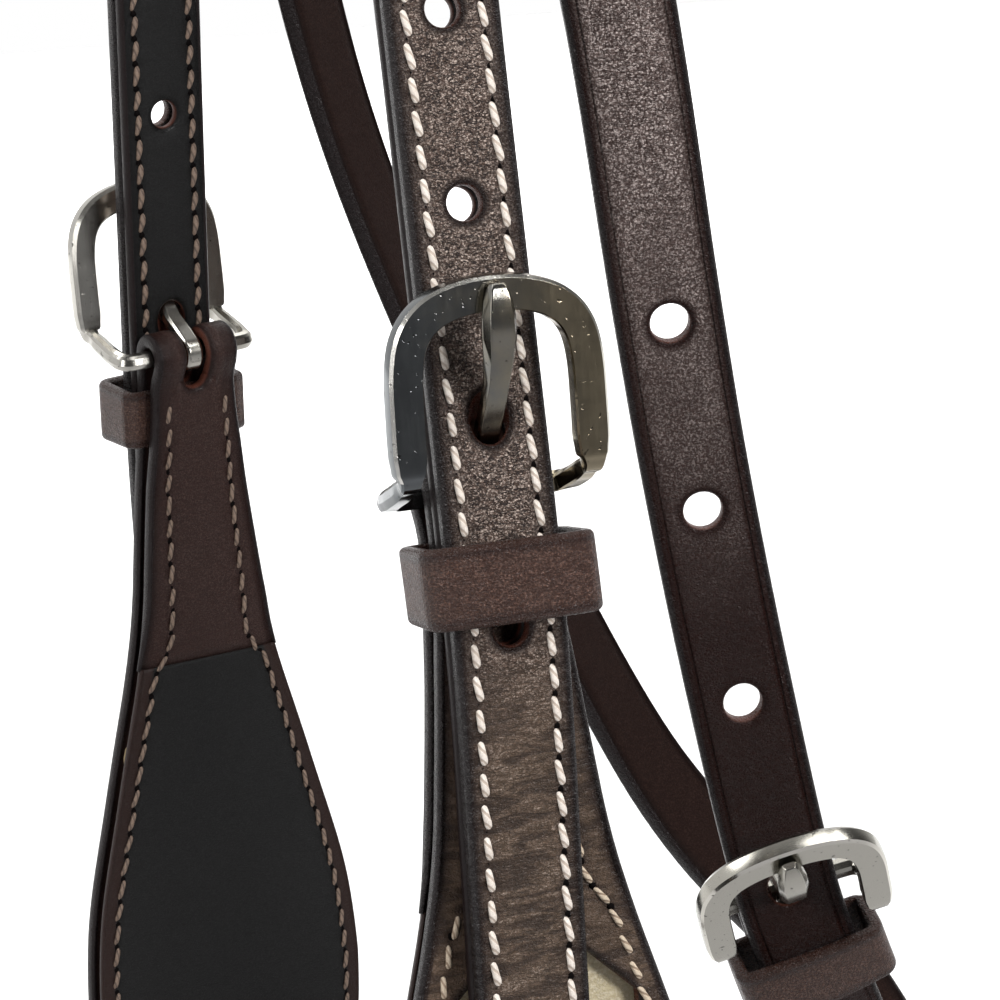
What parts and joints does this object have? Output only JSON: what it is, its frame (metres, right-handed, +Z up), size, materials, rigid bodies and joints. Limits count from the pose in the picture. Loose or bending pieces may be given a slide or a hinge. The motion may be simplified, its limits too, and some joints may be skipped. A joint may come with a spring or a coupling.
{
  "type": "western headstall",
  "caption": "Western headstall: buckled crown strap, scalloped cheeks, browband, throatlatch and looped bit ends, hanging as worn.",
  "frame": {"origin": "middle of the crown's underside, where it rests on the poll", "axes": "+Z up; the horse faces -Y, and its near side is +X"},
  "size_m": [0.182, 0.2295, 0.5337],
  "materials": {
    "brown_leather": "oiled grain",
    "black_lining": "matte",
    "keeper_leather": "oiled",
    "cream_leather": "matte",
    "nickel": "dull polished"
  },
  "bodies": {
    "straps": {"crown_strap": "brown_leather", "near_cheek": "brown_leather", "far_cheek": "brown_leather", "near_bit_strap": "brown_leather", "far_bit_strap": "brown_leather", "throat_strap": "brown_leather", "crown_lining": "black_lining", "near_cheek_lining": "black_lining", "far_cheek_lining": "black_lining", "near_keeper": "keeper_leather", "far_keeper": "keeper_leather", "throat_keeper": "keeper_leather", "near_cheek_inlay": "cream_leather", "far_cheek_inlay": "cream_leather", "near_upper_screw_post": "nickel", "near_upper_screw_cap": "nickel", "near_lower_screw_post": "nickel", "near_lower_screw_cap": "nickel", "far_upper_screw_post": "nickel", "far_upper_screw_cap": "nickel", "far_lower_screw_post": "nickel", "far_lower_screw_cap": "nickel"},
    "near_frame": {"near_buckle": "nickel"},
    "near_tongue": {"near_tongue": "nickel"},
    "far_frame": {"far_buckle": "nickel"},
    "far_tongue": {"far_tongue": "nickel"},
    "throat_frame": {"throat_buckle": "nickel"},
    "throat_tongue": {"throat_tongue": "nickel"},
    "browband": {"browband": "brown_leather", "browband_lining": "black_lining"}
  },
  "joints": [
    {"name": "near_frame_tilt", "type": "hinge", "parent": "straps", "child": "near_frame", "pos_m": [0.075, 0, -0.275], "axis": [0, 1, 0], "range_deg": [0, 2.5]},
    {"name": "near_tongue_lift", "type": "hinge", "parent": "near_frame", "child": "near_tongue", "pos_m": [0.075, 0, -0.275], "axis": [0, 1, 0], "range_deg": [0, 3]},
    {"name": "far_frame_tilt", "type": "hinge", "parent": "straps", "child": "far_frame", "pos_m": [-0.075, 0, -0.275], "axis": [0.2553, -0.9659, -0.0427], "range_deg": [0, 2.5]},
    {"name": "far_tongue_lift", "type": "hinge", "parent": "far_frame", "child": "far_tongue", "pos_m": [-0.075, 0, -0.275], "axis": [0.2553, -0.9659, -0.0427], "range_deg": [0, 3]},
    {"name": "throat_frame_tilt", "type": "hinge", "parent": "straps", "child": "throat_frame", "pos_m": [0.03069, 0.0626, -0.35333], "axis": [0.264, 0.9302, 0.2551], "range_deg": [0, 2.5]},
    {"name": "throat_tongue_lift", "type": "hinge", "parent": "throat_frame", "child": "throat_tongue", "pos_m": [0.03069, 0.0626, -0.35333], "axis": [0.264, 0.9302, 0.2551], "range_deg": [0, 3]},
    {"name": "browband_slide", "type": "slide", "parent": "straps", "child": "browband", "axis": [0, 0, 1], "range_m": [-0.005, 0.005]}
  ]
}
